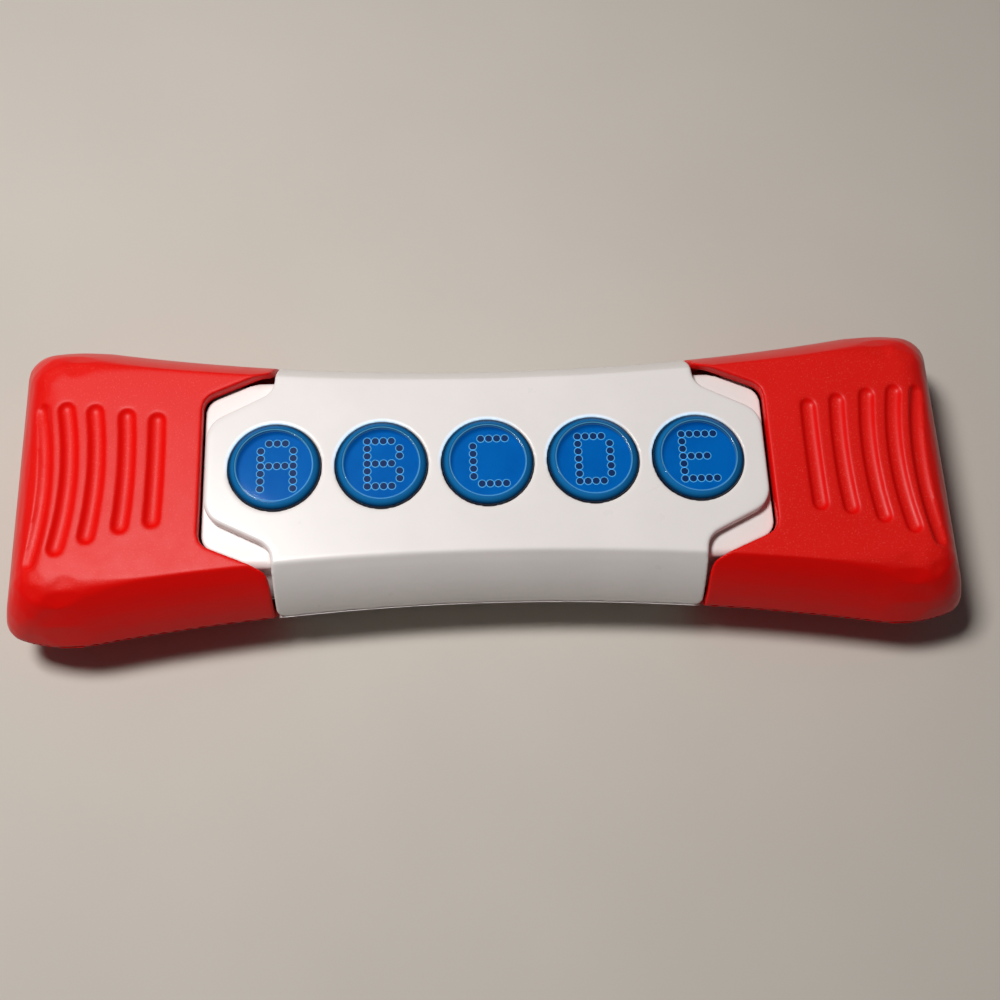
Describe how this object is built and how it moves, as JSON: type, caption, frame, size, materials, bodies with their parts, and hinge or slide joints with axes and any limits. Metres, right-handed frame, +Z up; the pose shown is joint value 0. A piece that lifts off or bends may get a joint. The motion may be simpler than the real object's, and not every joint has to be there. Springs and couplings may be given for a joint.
{
  "type": "handheld electronic word game",
  "caption": "Bow-tie-shaped handheld word game: white centre, round press buttons with dot-matrix letters, and red grips at the ends that twist about the long axis.",
  "frame": {"origin": "centre of the underside, on the surface that the game lies on", "axes": "+X along the length to the right-hand grip, +Y away from the player, +Z up out of the buttons"},
  "size_m": [0.2452, 0.0826, 0.0335],
  "materials": {
    "white_shell": "satin",
    "white_frame": "satin",
    "red_shell": "fine texture",
    "blue_cap": "clear, glossy",
    "display_glass": "glossy",
    "light_guide": "clear",
    "silicone": "matte",
    "circuit_board": "lacquered",
    "black_parts": "matte",
    "slider_black": "matte",
    "speaker_black": "matte",
    "cell_jacket": "gloss sleeve",
    "contact_metal": "plated",
    "spring_steel": "drawn wire",
    "screw_steel": "plated",
    "hub_plastic": "smooth",
    "lead_sleeve": "smooth"
  },
  "bodies": {
    "console": {"backlight_1": "light_guide", "backlight_2": "light_guide", "backlight_3": "light_guide", "backlight_4": "light_guide", "backlight_5": "light_guide", "battery_1": "cell_jacket", "battery_2": "cell_jacket", "battery_3": "cell_jacket", "battery_contacts": "contact_metal", "battery_leads": "lead_sleeve", "battery_springs": "spring_steel", "board_parts": "black_parts", "board_screws": "screw_steel", "bottom_cover": "white_shell", "button_dome_1": "silicone", "button_dome_2": "silicone", "button_dome_3": "silicone", "button_dome_4": "silicone", "button_dome_5": "silicone", "case_screws": "screw_steel", "display_1": "display_glass", "display_2": "display_glass", "display_3": "display_glass", "display_4": "display_glass", "display_5": "display_glass", "frame_screws": "screw_steel", "left_pivot_hub": "hub_plastic", "left_return_spring": "spring_steel", "left_twist_board": "circuit_board", "left_twist_leads": "lead_sleeve", "left_twist_switches": "black_parts", "lower_frame": "white_frame", "main_board": "circuit_board", "power_switch_body": "black_parts", "right_pivot_hub": "hub_plastic", "right_return_spring": "spring_steel", "right_twist_board": "circuit_board", "right_twist_leads": "lead_sleeve", "right_twist_switches": "black_parts", "speaker": "speaker_black", "speaker_leads": "lead_sleeve", "switch_leads": "lead_sleeve", "top_cover": "white_shell", "upper_frame": "white_frame"},
    "left_grip": {"left_grip_top": "red_shell", "left_grip_bottom": "red_shell", "left_grip_screws": "screw_steel"},
    "right_grip": {"right_grip_top": "red_shell", "right_grip_bottom": "red_shell", "right_grip_screws": "screw_steel"},
    "button_1": {"letter_button_1": "blue_cap"},
    "button_2": {"letter_button_2": "blue_cap"},
    "button_3": {"letter_button_3": "blue_cap"},
    "button_4": {"letter_button_4": "blue_cap"},
    "button_5": {"letter_button_5": "blue_cap"},
    "power_slider": {"power_switch_slider": "slider_black"},
    "battery_cover": {"battery_door": "white_shell"},
    "door_screw": {"battery_door_screw": "screw_steel"}
  },
  "joints": [
    {"name": "left_twist", "type": "hinge", "parent": "console", "child": "left_grip", "pos_m": [-0.08, 0, 0.016], "axis": [1, 0, 0], "range_deg": [-5, 5], "stiffness_Nm_per_rad": 1.5, "deforming": ["left_return_spring"]},
    {"name": "right_twist", "type": "hinge", "parent": "console", "child": "right_grip", "pos_m": [0.08, 0, 0.016], "axis": [1, 0, 0], "range_deg": [-5, 5], "stiffness_Nm_per_rad": 1.5, "deforming": ["right_return_spring"]},
    {"name": "button_1_press", "type": "slide", "parent": "console", "child": "button_1", "axis": [0, 0, -1], "range_m": [0, 0.0012], "stiffness_N_per_m": 1250, "deforming": ["button_dome_1"]},
    {"name": "button_2_press", "type": "slide", "parent": "console", "child": "button_2", "axis": [0, 0, -1], "range_m": [0, 0.0012], "stiffness_N_per_m": 1250, "deforming": ["button_dome_2"]},
    {"name": "button_3_press", "type": "slide", "parent": "console", "child": "button_3", "axis": [0, 0, -1], "range_m": [0, 0.0012], "stiffness_N_per_m": 1250, "deforming": ["button_dome_3"]},
    {"name": "button_4_press", "type": "slide", "parent": "console", "child": "button_4", "axis": [0, 0, -1], "range_m": [0, 0.0012], "stiffness_N_per_m": 1250, "deforming": ["button_dome_4"]},
    {"name": "button_5_press", "type": "slide", "parent": "console", "child": "button_5", "axis": [0, 0, -1], "range_m": [0, 0.0012], "stiffness_N_per_m": 1250, "deforming": ["button_dome_5"]},
    {"name": "power_slide", "type": "slide", "parent": "console", "child": "power_slider", "axis": [1, 0, 0], "range_m": [0, 0.004]},
    {"name": "battery_door_hinge", "type": "hinge", "parent": "console", "child": "battery_cover", "pos_m": [0.02523, 0, 0.00093], "axis": [0, -1, 0], "range_deg": [0, 45]},
    {"name": "door_screw_turn", "type": "hinge", "parent": "battery_cover", "child": "door_screw", "pos_m": [-0.031, 0, 0], "axis": [0, 0, 1], "continuous": true}
  ]
}
